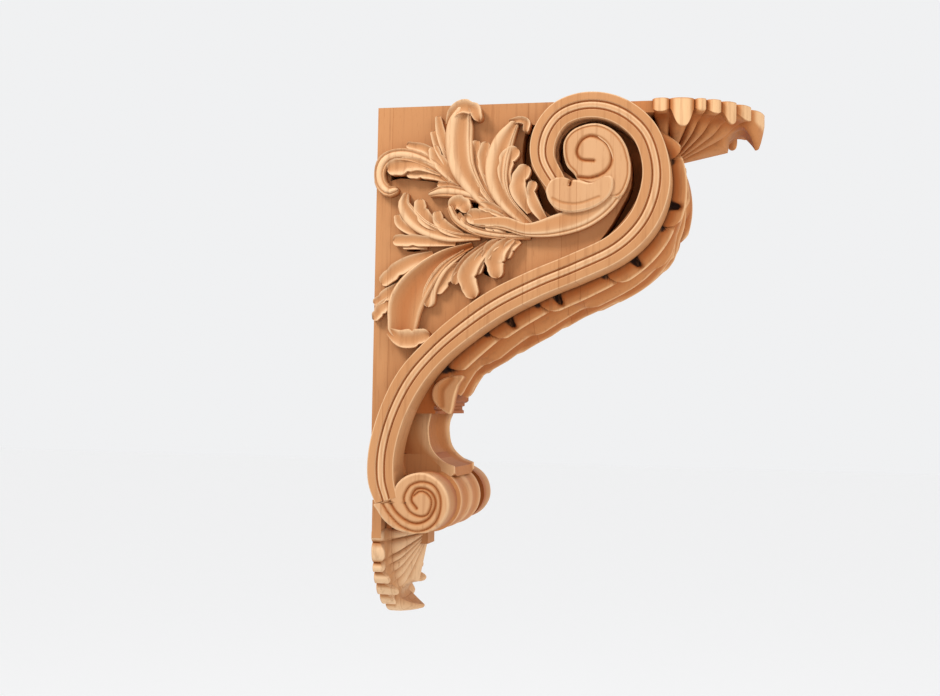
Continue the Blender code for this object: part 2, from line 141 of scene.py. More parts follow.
class Carving:
    """A mesh that grows by closed shells. Each point keeps its painted light, from 0 in a cut to 1 on a crest."""

    def __init__(self, name: str) -> None:
        """Starts an empty carving.

        Args:
            name: The name that its object gets.
        """
        self.name = name
        self.points: list[np.ndarray] = []
        self.faces: list[tuple[int, ...]] = []
        self.painted_light: list[np.ndarray] = []
        self.count = 0

    def loft(self, rings: np.ndarray, painted_light: np.ndarray) -> None:
        """Adds a closed shell through rings of equally many points.

        Args:
            rings: Points in metres, by ring and by place in the ring.
            painted_light: The painted light of each point, in the same layout, from shadow at 0 to highlight at 1.
        """
        rows, columns = rings.shape[:2]
        start = self.count
        self.points.append(rings.reshape(-1, 3))
        self.painted_light.append(painted_light.reshape(-1))
        self.count += rows * columns
        for row in range(rows - 1):
            for column in range(columns):
                here, beside = start + row * columns + column, start + row * columns + (column + 1) % columns
                self.faces.append((here, beside, beside + columns, here + columns))
        self.faces.append(tuple(range(start, start + columns)))
        self.faces.append(tuple(range(self.count - columns, self.count)))

    def build(self, mirrored: bool = False) -> bpy.types.Object:
        """Makes the object, with its faces outwards.

        Args:
            mirrored: Whether the carving is made for the far side of the bracket.

        Returns:
            The object, linked to the scene.
        """
        points = np.concatenate(self.points)
        if mirrored:
            points = points * (-1, 1, 1)
        mesh = bpy.data.meshes.new(self.name)
        mesh.from_pydata(points.tolist(), [], self.faces)
        paint_light(mesh, np.concatenate(self.painted_light).astype(np.float32))
        shape = bmesh.new()
        shape.from_mesh(mesh)
        bmesh.ops.recalc_face_normals(shape, faces=shape.faces)
        shape.to_mesh(mesh)
        shape.free()
        piece = bpy.data.objects.new(self.name, mesh)
        bpy.context.scene.collection.objects.link(piece)
        return piece


def choose(*objects: bpy.types.Object) -> None:
    """Selects only these objects and makes the first one active.

    Args:
        *objects: The objects to select.
    """
    bpy.ops.object.select_all(action="DESELECT")
    for item in objects:
        item.select_set(True)
    bpy.context.view_layer.objects.active = objects[0]


def board(name: str, outline: Sequence[tuple[float, float]], low: float, high: float) -> bpy.types.Object:
    """Cuts a flat board to an outline with Blender's operators.

    Args:
        name: The object's name.
        outline: Corners of the board in u and v.
        low: Where its one face lies across the bracket.
        high: Where its other face lies.

    Returns:
        The board, closed and with its faces outwards.
    """
    bpy.ops.object.select_all(action="DESELECT")
    bpy.ops.mesh.primitive_circle_add(vertices=len(outline), radius=0.1, fill_type="NGON")
    piece = bpy.context.object
    piece.name = name
    for vertex, (u, v) in zip(piece.data.vertices, outline):
        vertex.co = place(u, v, low)
    bpy.ops.object.mode_set(mode="EDIT")
    bpy.ops.mesh.select_all(action="SELECT")
    bpy.ops.mesh.extrude_region_move(TRANSFORM_OT_translate={"value": ((high - low) * MM, 0, 0)})
    bpy.ops.mesh.select_all(action="SELECT")
    bpy.ops.mesh.normals_make_consistent(inside=False)
    bpy.ops.object.mode_set(mode="OBJECT")
    return piece


def cut(piece: bpy.types.Object, cutters: Sequence[bpy.types.Object]) -> None:
    """Cuts solids out of a piece, one after another, and removes them.

    Args:
        piece: The piece that is cut.
        cutters: The solids.
    """
    for cutter in cutters:
        choose(piece)
        modifier = piece.modifiers.new("opening", "BOOLEAN")
        modifier.operation = "DIFFERENCE"
        modifier.solver = "EXACT"
        modifier.object = cutter
        bpy.ops.object.modifier_apply(modifier=modifier.name)
        bpy.data.objects.remove(cutter, do_unlink=True)


def join(name: str, parts: Sequence[bpy.types.Object]) -> bpy.types.Object:
    """Joins parts into one object.

    Args:
        name: The object's name.
        parts: What is joined, the first of them into which the others go.

    Returns:
        The object.
    """
    choose(*parts)
    bpy.ops.object.join()
    piece = bpy.context.object
    piece.name = name
    piece.data.name = name
    return piece


# Finish

class Value:
    """A shader socket that takes part in sums and products."""

    def __init__(self, tree: "Nodes", socket: bpy.types.NodeSocket) -> None:
        """Wraps a socket of a node tree."""
        self.tree = tree
        self.socket = socket

    def __add__(self, other: "Value | float") -> "Value":
        """Adds."""
        return self.tree.math("ADD", self, other)

    def __mul__(self, other: "Value | float") -> "Value":
        """Multiplies."""
        return self.tree.math("MULTIPLY", self, other)

    __radd__ = __add__
    __rmul__ = __mul__


class Nodes:
    """A material's node tree, built by type, settings and socket values."""

    def __init__(self, material: bpy.types.Material) -> None:
        """Opens the material's tree and finds its shader.

        Args:
            material: The material.
        """
        material.use_nodes = True
        self.tree = material.node_tree
        self.shader = self.tree.nodes["Principled BSDF"]

    def add(self, kind: str, settings: dict | None = None, **inputs: object) -> bpy.types.Node:
        """Adds a node.

        Args:
            kind: The node's type.
            settings: Properties that are set before the sockets.
            **inputs: Socket values or links, by socket name with spaces as underscores.

        Returns:
            The node.
        """
        node = self.tree.nodes.new(kind)
        for key, value in (settings or {}).items():
            setattr(node, key, value)
        for key, value in inputs.items():
            self.feed(node.inputs[key.replace("_", " ")], value)
        return node

    def feed(self, socket: bpy.types.NodeSocket, value: object) -> None:
        """Links a value to a socket, or sets the socket to a plain number or colour.

        Args:
            socket: The input socket.
            value: A value, a node's output, a number or a colour.
        """
        if isinstance(value, Value):
            value = value.socket
        if isinstance(value, bpy.types.NodeSocket):
            self.tree.links.new(value, socket)
        else:
            socket.default_value = value

    def math(self, operation: str, *terms: "Value | float") -> Value:
        """Adds a Math node.

        Args:
            operation: What the node works out.
            *terms: Its inputs in order, three at most.

        Returns:
            The node's value.
        """
        node = self.add("ShaderNodeMath", {"operation": operation})
        for socket, term in zip(node.inputs, terms):
            self.feed(socket, term)
        return Value(self, node.outputs[0])

    def scaled(self, vector: bpy.types.NodeSocket, by: tuple[float, float, float]) -> bpy.types.NodeSocket:
        """Multiplies a vector by three numbers.

        Args:
            vector: The vector's socket.
            by: One number for each axis.

        Returns:
            The scaled vector's socket.
        """
        node = self.add("ShaderNodeVectorMath", {"operation": "MULTIPLY"})
        self.feed(node.inputs[0], vector)
        self.feed(node.inputs[1], by)
        return node.outputs[0]

    def noise(self, vector: bpy.types.NodeSocket, scale: float, detail: float, roughness: float = 0.55) -> Value:
        """Adds a noise.

        Args:
            vector: Where the noise is read.
            scale: How fine it is.
            detail: How many octaves it has.
            roughness: How strong the finer octaves are.

        Returns:
            The noise from 0 to 1.
        """
        node = self.add("ShaderNodeTexNoise", None, Vector=vector, Scale=scale, Detail=detail, Roughness=roughness)
        return Value(self, node.outputs[0])

    def blend(self, factor: "Value | float", first: object, second: object, mode: str = "MIX") -> bpy.types.NodeSocket:
        """Mixes two colours.

        Args:
            factor: How much of the second colour is mixed in.
            first: The first colour, as three numbers or a socket.
            second: The second colour, likewise.
            mode: The way of mixing.

        Returns:
            The mixed colour's socket.
        """
        node = self.add("ShaderNodeMix", {"data_type": "RGBA", "blend_type": mode})
        for index, value in zip(MIX_INPUTS, (factor, first, second)):
            self.feed(node.inputs[index], (*value, 1) if isinstance(value, tuple) else value)
        return node.outputs[MIX_RESULT]

    def between(self, value: Value, low: float, high: float) -> Value:
        """Stretches the range from low to high smoothly over 0 to 1 and clamps it.

        Args:
            value: What is stretched.
            low: Where the result leaves 0.
            high: Where the result reaches 1.

        Returns:
            The stretched value.
        """
        node = self.add("ShaderNodeMapRange", {"interpolation_type": "SMOOTHSTEP"}, Value=value)
        self.feed(node.inputs[1], low)
        self.feed(node.inputs[2], high)
        return Value(self, node.outputs[0])


@dataclass(frozen=True)
class WoodFinish:
    """Oiled light-brown wood with an upright grain, glued up from staves. The colours are linear.

    A stave is its edge forward from the wall, in metres, and the step in its shade.
    """

    name: str
    # Painted light: the pit colour is painted shadow, the hollow painted shade, the crest a painted highlight.
    crest: Colour = (0.68, 0.455, 0.270)
    plain: Colour = (0.47, 0.232, 0.102)
    hollow: Colour = (0.36, 0.112, 0.030)
    pit_shadow: Colour = (0.020, 0.008, 0.005)
    streak: Colour = (0.31, 0.135, 0.055)
    cloud: Colour = (0.92, 0.84, 0.76)
    stave: Colour = (0.87, 0.80, 0.74)
    glue: Colour = (0.62, 0.48, 0.38)
    pore: Colour = (0.55, 0.40, 0.30)
    roughness: float = 0.50
    specular: float = 0.05
    staves: tuple[tuple[float, float], ...] = ((0.018, 0.40), (0.178, -0.30), (0.218, 0.35), (0.237, -0.25))
    first_shade: float = 0.30
    glue_half: float = 0.0004

    def tone(self, nodes: Nodes) -> bpy.types.NodeSocket:
        """Paints light and shade into the tone: shadow in pits, shade in hollows, plain faces, highlights on crests.

        Args:
            nodes: The material's tree.

        Returns:
            The tone's socket.
        """
        painted_light = Value(nodes, nodes.add("ShaderNodeAttribute", {"attribute_name": "painted_light"}).outputs["Fac"])
        tone = nodes.blend(nodes.between(painted_light, 0.02, 0.22), self.pit_shadow, self.hollow)
        tone = nodes.blend(nodes.between(painted_light, 0.18, 0.55), tone, self.plain)
        return nodes.blend(nodes.between(painted_light, 0.55, 1.0), tone, self.crest)

    def staved(self, nodes: Nodes, tone: bpy.types.NodeSocket, forward: Value) -> bpy.types.NodeSocket:
        """Shades the staves and draws the fine glue lines between them.

        Args:
            nodes: The material's tree.
            tone: The wood's tone so far.
            forward: The distance forward from the wall.

        Returns:
            The tone with staves.
        """
        shade, glue = self.first_shade, 0.0
        for edge, step in self.staves:
            shade = nodes.math("GREATER_THAN", forward, edge) * step + shade
            glue = nodes.math("COMPARE", forward, edge, self.glue_half) * 0.5 + glue
        tone = nodes.blend(shade, tone, self.stave, "MULTIPLY")
        return nodes.blend(glue, tone, self.glue, "MULTIPLY")

    def material(self) -> bpy.types.Material:
        """Builds the wood: the tone, then streaks, clouds, staves, pores and a fine grain bump.

        Returns:
            The material.
        """
        material = bpy.data.materials.new(self.name)
        nodes = Nodes(material)
        place_on = nodes.add("ShaderNodeTexCoord").outputs["Object"]
        forward = Value(nodes, nodes.add("ShaderNodeSeparateXYZ", None, Vector=place_on).outputs[1]) * -1.0
        clouds = nodes.noise(nodes.scaled(place_on, (26, 26, 2.4)), 1.0, 3)
        streaks = nodes.noise(nodes.scaled(place_on, (210, 210, 9)), 1.0, 5)
        pores = nodes.noise(nodes.scaled(place_on, (1300, 1300, 70)), 1.0, 2)
        tone = nodes.blend(nodes.between(streaks, 0.50, 0.70) * 0.38, self.tone(nodes), self.streak)
        tone = nodes.blend(nodes.between(clouds, 0.35, 0.7) * 0.4, tone, self.cloud, "MULTIPLY")
        tone = self.staved(nodes, tone, forward)
        tone = nodes.blend(nodes.between(pores, 0.63, 0.72) * 0.35, tone, self.pore, "MULTIPLY")
        nodes.feed(nodes.shader.inputs["Base Color"], tone)
        nodes.feed(nodes.shader.inputs["Roughness"], self.roughness + streaks * 0.12)
        nodes.shader.inputs["Specular IOR Level"].default_value = self.specular
        grain = streaks * 0.7 + pores * 0.3
        bump = nodes.add("ShaderNodeBump", None, Strength=0.10, Distance=0.0006, Height=grain)
        nodes.feed(nodes.shader.inputs["Normal"], bump.outputs[0])
        return material


@dataclass(frozen=True)
class FloorFinish:
    """A plain pale studio floor."""

    name: str = "studio_floor"
    paint: Colour = (0.995, 0.993, 0.990)
    mottle: Colour = (0.975, 0.975, 0.975)
    roughness: float = 0.9

    def material(self) -> bpy.types.Material:
        """Builds the matt floor paint with a very faint mottle.

        Returns:
            The material.
        """
        material = bpy.data.materials.new(self.name)
        nodes = Nodes(material)
        noise = nodes.noise(nodes.add("ShaderNodeTexCoord").outputs["Object"], 2.0, 2)
        nodes.feed(nodes.shader.inputs["Base Color"], nodes.blend(noise * 0.04, self.paint, self.mottle))
        nodes.shader.inputs["Roughness"].default_value = self.roughness
        return material


def dress(piece: bpy.types.Object, node: str, finish: bpy.types.Material) -> bpy.types.Object:
    """Shades a piece smooth apart from its sharp edges, gives it its wood and lets it stand for a CAD node.

    Args:
        piece: The finished piece.
        node: The CAD node that it replaces.
        finish: Its material.

    Returns:
        The piece.
    """
    choose(piece)
    bpy.ops.object.shade_smooth_by_angle(angle=math.radians(SHARP_EDGE))
    piece.data.materials.clear()
    piece.data.materials.append(finish)
    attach(piece, "root")
    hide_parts(node)
    LOG.info("%s: %d faces", piece.name, len(piece.data.polygons))
    return piece


# The cheeks

class Gouge(Enum):
    """How a lobe's face is worked across its width: places from edge to edge, and their share of its height."""

    ROUND = (
        (-1.0, 0.78), (-0.97, 0.94), (-0.93, 1.0), (-0.86, 0.97), (-0.70, 0.88), (-0.46, 0.81), (-0.16, 0.78),
        (0.14, 0.80), (0.44, 0.87), (0.68, 0.95), (0.85, 1.0), (0.93, 1.0), (0.975, 0.93), (1.0, 0.76),
    )
    CHANNEL = (
        (-1.0, 0.72), (-0.97, 0.86), (-0.90, 0.95), (-0.83, 0.97), (-0.77, 0.90), (-0.71, 0.97), (-0.64, 1.0),
        (-0.58, 0.93), (-0.46, 0.84), (-0.26, 0.78), (-0.04, 0.79), (0.18, 0.86), (0.38, 0.95), (0.58, 1.0),
        (0.76, 0.99), (0.90, 0.92), (0.97, 0.84), (1.0, 0.72),
    )
    BOWL = (
        (-1.0, 0.60), (-0.96, 0.84), (-0.90, 0.97), (-0.84, 1.0), (-0.76, 0.90), (-0.62, 0.71), (-0.42, 0.54),
        (-0.15, 0.45), (0.12, 0.46), (0.38, 0.56), (0.58, 0.70), (0.74, 0.83), (0.86, 0.92), (0.95, 0.84), (1.0, 0.60),
    )
    STEM = (
        (-1.0, 0.50), (-0.92, 0.80), (-0.78, 0.94), (-0.62, 0.86), (-0.50, 0.82), (-0.36, 0.94), (-0.15, 1.0),
        (0.12, 0.98), (0.34, 0.92), (0.48, 0.82), (0.60, 0.84), (0.76, 0.90), (0.92, 0.74), (1.0, 0.46),
    )


@dataclass(frozen=True)
class Lobe:
    """One lobe of a leaf: its spine in u and v, its widths along it, its height over the ground, and its gouging."""

    spine: tuple[tuple[float, float], ...]
    widths: tuple[float, ...]
    height: float
    gouge: Gouge = Gouge.ROUND

    def carve(self, carving: Carving) -> None:
        """Lofts the lobe from its root to its rounded tip.

        Args:
            carving: The carving that the lobe goes into.
        """
        path = smooth_path([(*point, width) for point, width in zip(self.spine, self.widths)], LOBE_RINGS)
        along = directions(path)
        spread = CLOSE_SPREAD if self.gouge in (Gouge.ROUND, Gouge.STEM) else BROAD_SPREAD
        tip = self.widths[-1] * spread * 0.42
        nose = np.sin(np.linspace(0.2, 1.0, NOSE_RINGS) * math.pi / 2)
        ahead = path[-1, :2] + along[-1] * tip * nose[:, None]
        path = np.vstack([path, np.column_stack([ahead, np.full(NOSE_RINGS, path[-1, 2])])])
        along = np.vstack([along, np.repeat(along[-1:], NOSE_RINGS, axis=0)])
        share = np.linspace(0, 1, LOBE_RINGS)
        rise = 0.72 + 0.28 * ease(0.0, 0.55, share) - 0.10 * bell(share, 0.80, 0.16)
        taper = np.concatenate([np.ones(LOBE_RINGS), np.sqrt(np.clip(1.02 - nose ** 2, 0.02, 1))])
        rise = np.concatenate([rise, rise[-1] * (0.72 + 0.28 * taper[LOBE_RINGS:])])
        across, height = np.array(self.gouge.value).T
        across = np.concatenate([[-0.88], across, [0.88]])
        height = np.concatenate([[-0.3], height, [-0.3]])
        half = path[:, 2] * spread / 2 * taper
        reach = half[:, None] * across
        walked = np.linspace(0, 1, len(path))[:, None]
        if self.gouge is Gouge.ROUND and max(self.widths) >= NOTCHED_WIDTH:
            left = 0.24 * bell(walked, 0.60, NOTCH_REACH) * (across > 0.4)
            right = 0.20 * bell(walked, 0.70, NOTCH_REACH) * (across < -0.4)
            reach = reach * (1 - left - right)
        u = np.maximum(path[:, 0, None] - along[:, 1, None] * reach, WALL_GAP)
        v = path[:, 1, None] + along[:, 0, None] * reach
        lift = np.where(height < 0, -SET_IN, height * self.height * rise[:, None])
        # Painted light: a highlight on high parts, shade low down and at the buried foot, more shade near the root.
        lit_by_height = np.interp(height, (0.0, 0.45, 0.7, 0.8, 0.9, 1.0), (0.0, 0.34, 0.48, 0.62, 0.78, 1.0))
        root_shade = 0.20 * (1 - ease(0.0, 0.3, walked))
        carving.loft(place(u, v, -(GROUND_X + lift)), np.clip(lit_by_height - root_shade, 0.02, 1))


@dataclass(frozen=True)
class Leaf:
    """A leaf of several lobes, and the webs that fill the leaf between two neighbours.

    A web is the one lobe's number and how far along it the web reaches, then the same for the other lobe.
    """

    lobes: tuple[Lobe, ...]
    webs: tuple[tuple[int, float, int, float], ...]

    def carve(self, carving: Carving) -> None:
        """Lofts the webs and then the lobes.

        Args:
            carving: The carving that the leaf goes into.
        """
        share = np.linspace(0, 1, WEB_POINTS)
        sag = np.sin(math.pi * share)
        for first, first_reach, second, second_reach in self.webs:
            sides = []
            for index, reach in ((first, first_reach), (second, second_reach)):
                whole = smooth_path(self.lobes[index].spine, 60)
                sides.append(whole[np.linspace(0, 59 * min(reach * 1.14, 0.97), WEB_RINGS).astype(int)])
            u = sides[0][:, 0, None] * (1 - share) + sides[1][:, 0, None] * share
            v = sides[0][:, 1, None] * (1 - share) + sides[1][:, 1, None] * share
            height = min(self.lobes[first].height, self.lobes[second].height)
            along = np.linspace(0, 1, WEB_RINGS)[:, None]
            top = place(u, v, -(GROUND_X + height * (0.58 + 0.10 * along - 0.12 * sag)))
            foot = place(u, v, -(GROUND_X - SET_IN))[:, ::-1]
            # Painted shade on the webs, deepest midway between the lobes, and painted shadow at their buried foot.
            shown = np.concatenate([np.full_like(u, 0.34) - 0.12 * sag, np.full_like(u, 0.05)], axis=1)
            carving.loft(np.concatenate([top, foot], axis=1), shown)
        for lobe in self.lobes:
            lobe.carve(carving)


CHANNEL, BOWL, STEM = Gouge.CHANNEL, Gouge.BOWL, Gouge.STEM

SCROLL_LEAF = Leaf((
    Lobe(((90, -90), (71, -72), (49, -61), (29, -58), (13, -63), (6, -76), (8, -91), (17, -100), (24, -99)),
         (7, 11, 13, 13, 13, 12, 12, 11, 9), 15, STEM),
    Lobe(((78, -65), (60, -52), (41, -47)), (7, 9, 7), 12),
    Lobe(((80, -80), (53, -70), (33, -71), (23, -73)), (6, 12, 18, 15), 15),
    Lobe(((87, -88), (68, -82), (53, -79), (44, -79)), (5, 9, 12, 11), 13),
), ((0, 0.45, 2, 0.8), (2, 0.8, 3, 0.85), (1, 0.95, 0, 0.36)))

SMALL_LEAF = Leaf((
    Lobe(((145, -120), (123, -109), (96, -102), (80, -101), (68, -104)), (5, 9, 12, 11, 6), 13, STEM),
    Lobe(((104, -100), (90, -95), (78, -93)), (6, 8, 6), 11),
), ((0, 0.75, 1, 0.9),))

TALL_LEAF = Leaf((
    Lobe(((99, -84), (86, -56), (78, -33), (75, -17)), (6, 9, 9, 6), 12),
    Lobe(((97, -84), (81, -60), (74, -45), (70, -34)), (6, 9, 9, 7), 11),
    Lobe(((102, -93), (88, -79), (75, -64), (71, -54)), (6, 12, 14, 11), 13),
    Lobe(((137, -107), (122, -82), (117, -63), (120, -48)), (6, 9, 12, 9), 12),
    Lobe(((147, -120), (135, -104), (129, -93), (126, -86)), (6, 11, 12, 9), 13),
    Lobe(((149, -130), (125, -106), (106, -77), (100, -48), (101, -25), (105, -11)), (9, 16, 26, 30, 28, 18), 15,
         CHANNEL),
    Lobe(((87, -25), (93, -11), (105, -5), (117, -8), (122, -17)), (5, 10, 13, 13, 9), 18),
), ((5, 0.78, 0, 0.88), (0, 0.75, 1, 0.85), (1, 0.8, 2, 0.8), (5, 0.6, 3, 0.85), (3, 0.5, 4, 0.85)))

NEAR_LEAF = Leaf((
    Lobe(((144, -112), (133, -85), (128, -65), (131, -50)), (5, 9, 11, 9), 13),
    Lobe(((163, -113), (154, -85), (156, -67), (163, -59)), (7, 12, 16, 14), 14),
    Lobe(((183, -127), (172, -108), (169, -93), (176, -80)), (6, 14, 16, 14), 14),
    Lobe(((201, -138), (189, -120), (184, -105), (186, -96)), (6, 11, 9, 9), 13),
    Lobe(((184, -143), (158, -118), (146, -95), (145, -69), (152, -46), (163, -28)), (9, 16, 22, 25, 22, 11), 15,
         CHANNEL),
    Lobe(((158, -24), (169, -22), (178, -25), (178, -33)), (5, 6, 7, 6), 16),
), ((4, 0.75, 0, 0.85), (4, 0.85, 1, 0.85), (1, 0.6, 2, 0.8), (2, 0.7, 3, 0.85)))

STEM_LEAF = Leaf((
    Lobe(((184, -154), (149, -153), (120, -147), (99, -135), (91, -121)), (6, 7, 8, 8, 7), 13, STEM),
    Lobe(((93, -121), (96, -115), (105, -115), (109, -120)), (8, 12, 14, 12), 15),
    Lobe(((122, -145), (107, -137), (101, -129)), (7, 7, 6), 11),
    Lobe(((131, -149), (118, -142), (110, -134)), (7, 11, 12), 12),
    Lobe(((166, -135), (149, -127), (135, -120), (128, -119)), (7, 9, 11, 8), 13),
    Lobe(((163, -143), (146, -135), (131, -132), (118, -131)), (7, 14, 18, 15), 14),
    Lobe(((157, -146), (145, -142), (137, -141)), (7, 11, 11), 12),
), ((0, 0.6, 3, 0.85), (5, 0.8, 4, 0.85), (5, 0.75, 6, 0.9), (3, 0.8, 2, 0.8), (0, 0.8, 2, 0.8)))

SIDE_LEAF = Leaf((
    Lobe(((62, -152), (42, -145), (31, -137), (28, -130)), (6, 8, 9, 7), 9),
    Lobe(((82, -145), (66, -136), (57, -125), (55, -115)), (6, 13, 14, 11), 12),
    Lobe(((105, -152), (89, -145), (79, -137), (76, -128)), (6, 11, 12, 9), 12),
    Lobe(((126, -155), (91, -153), (63, -144), (45, -130), (36, -116), (38, -105)), (5, 12, 16, 18, 14, 7), 12,
         CHANNEL),
), ((3, 0.75, 0, 0.85), (3, 0.75, 1, 0.8), (1, 0.7, 2, 0.8)))

WALL_LEAF = Leaf((
    Lobe(((97, -161), (68, -159), (44, -157), (29, -157)), (5, 9, 12, 11), 11),
    Lobe(((64, -164), (48, -163), (38, -163)), (6, 7, 7), 9),
), ((0, 0.8, 1, 0.85),))

BOWL_LEAF = Leaf((
    Lobe(((71, -173), (46, -182), (25, -194), (15, -203)), (6, 13, 15, 12), 11),
    Lobe(((36, -208), (17, -220), (5, -228)), (9, 12, 8), 9),
    Lobe(((25, -224), (12, -235), (4, -245)), (9, 12, 9), 10),
    Lobe(((108, -170), (84, -189), (70, -211), (67, -227)), (5, 11, 14, 15), 11, CHANNEL),
    Lobe(((108, -183), (93, -192), (83, -204), (78, -212)), (5, 11, 15, 13), 9),
    Lobe(((117, -163), (84, -178), (58, -202), (41, -228), (37, -256)), (6, 18, 32, 39, 33), 13, BOWL),
    Lobe(((21, -262), (36, -270), (51, -270), (63, -267)), (7, 16, 18, 13), 17),
), ((1, 0.8, 2, 0.85), (3, 0.8, 4, 0.85)))

LOWER_LEAF = Leaf((
    Lobe(((135, -160), (113, -178), (101, -194), (98, -204)), (4, 8, 9, 8), 11),
    Lobe(((142, -161), (128, -179), (124, -192)), (5, 11, 9), 12),
    Lobe(((145, -157), (120, -183), (112, -201), (118, -217)), (5, 14, 19, 14), 14),
    Lobe(((154, -158), (139, -166), (134, -176)), (6, 11, 9), 13),
    Lobe(((171, -158), (161, -166), (158, -175)), (7, 11, 8), 12),
    Lobe(((164, -156), (150, -169), (144, -183), (146, -194)), (7, 15, 19, 14), 15),
), ((0, 0.85, 2, 0.75), (2, 0.75, 1, 0.85), (5, 0.75, 3, 0.85), (5, 0.7, 4, 0.85)))


@dataclass(frozen=True)
class Plate:
    """A flat plate whose face is cut by winding lines.

    Each line is its stations in u and v, its half width and its depth. The rim line is its distance from the rim.
    """

    middle: tuple[float, float]
    outline: tuple[tuple[float, float], ...]
    foot: float
    face: float
    lines: tuple[tuple[tuple[tuple[float, float], ...], float, float], ...]
    rim_line: float = 0.0

    def carve(self, carving: Carving) -> None:
        """Lofts the plate from its foot to its rim and inwards over its face.

        Args:
            carving: The carving that the plate goes into.
        """
        edge = smooth_path([*self.outline, self.outline[0]], 240)[:-1] - self.middle
        bearing = np.degrees(np.arctan2(edge[:, 1], edge[:, 0])) % 360
        order = np.argsort(bearing)
        turns = np.linspace(0, 360, 180, endpoint=False)
        reach = np.interp(turns, bearing[order], np.hypot(*edge.T)[order], period=360)
        share = np.concatenate([np.linspace(1, 0.9, 8)[:-1], np.linspace(0.9, 0.01, 44)])[:, None]
        u = self.middle[0] + reach * share * np.cos(np.radians(turns))
        v = self.middle[1] + reach * share * np.sin(np.radians(turns))
        cut_in, shadow = np.zeros_like(u), np.zeros_like(u)
        for stations, half, depth in self.lines:
            line = smooth_path(stations, 140)
            gap = np.hypot(u[..., None] - line[:, 0], v[..., None] - line[:, 1]).min(axis=-1)
            cut_in = np.maximum(cut_in, depth * bell(gap, 0, half))
            shadow = np.maximum(shadow, min(1.0, depth / 2.4) * bell(gap, 0, half))
        inset = (1 - share) * reach
        if self.rim_line:
            rim = bell(inset, self.rim_line, 0.9)
            cut_in, shadow = np.maximum(cut_in, 1.3 * rim), np.maximum(shadow, 0.6 * rim)
        lift = self.face - cut_in - 1.8 * (1 - ease(0.0, 2.2, inset))
        # Painted shade along the cut lines, a painted highlight just inside the rim, painted shade on the foot.
        shown = 0.74 - 0.56 * shadow + 0.2 * bell(inset, 1.2, 1.2)
        rings = np.concatenate([place(u[:1], v[:1], -self.foot), place(u, v, -lift)])
        carving.loft(rings, np.concatenate([np.full_like(shown[:1], 0.15), shown]))


SMALL_VOLUTE = Plate(
    (63, -457),
    ((29, -452), (26, -454), (18, -457), (9, -460), (13, -466), (21, -477), (35, -487), (51, -491), (61, -491),
     (75, -489), (89, -479), (97, -463), (95, -445), (85, -431), (69, -423), (51, -425), (37, -435)),
    INNER_X, FACE_X - 0.2,
    ((((28, -456), (36, -468), (48, -477), (61, -480), (73, -475), (80, -465), (82, -455), (78, -446), (70, -441),
       (60, -441), (55, -447), (54, -455), (60, -463)), 1.7, 3.0),
     (((17, -453), (25, -467), (37, -480), (47, -486), (60, -489), (74, -485), (84, -475), (88, -460), (86, -446),
       (78, -436), (65, -433), (53, -437), (47, -445), (45, -454), (49, -463), (55, -469), (65, -472), (73, -469),
       (77, -459), (76, -451), (70, -445), (63, -444), (56, -449)), 1.5, 2.6)),
)
EYE = Plate(
    (249.5, -66),
    ((296, -75), (291, -56), (281, -41), (266, -31), (250, -29), (232, -35), (222, -47), (221, -62), (225, -76),
     (233, -85), (239, -94), (250, -99), (262, -103), (275, -113), (287, -110), (295, -92)),
    GROUND_X - SET_IN, GROUND_X + 15,
    ((((255, -71), (241, -69), (236, -60), (241, -48), (252, -43), (266, -49), (274, -61), (274, -75), (266, -85),
       (252, -90), (238, -89)), 1.7, 3.2),
     (((246, -95), (258, -98), (268, -96)), 1.2, 2.0)),
    3.2,
)
HOOD = Plate(
    (240, -108),
    ((202, -105), (204, -96), (212, -90), (221, -89), (230, -92), (240, -93), (251, -96), (262, -94), (270, -88),
     (277, -92), (276, -106), (266, -118), (250, -126), (231, -129), (215, -125), (206, -116)),
    GROUND_X - SET_IN, GROUND_X + 18.7,
    ((((229, -98), (230, -94), (231, -90)), 1.6, 5.0),
     (((210, -113), (222, -118), (240, -119), (262, -112)), 1.3, 1.0)),
)
POINT = Plate(
    (75, -334),
    ((95, -311), (81, -314), (71, -320), (66, -328), (66, -338), (72, -347), (86, -356), (90, -351), (93, -336),
     (97, -322), (103, -312)),
    68, 80.5,
    ((((88, -314), (77, -328), (77, -346)), 3.4, 1.2),),
)

LEAVES = (
    SCROLL_LEAF, SMALL_LEAF, TALL_LEAF, NEAR_LEAF, STEM_LEAF, SIDE_LEAF, WALL_LEAF, BOWL_LEAF, LOWER_LEAF,
)

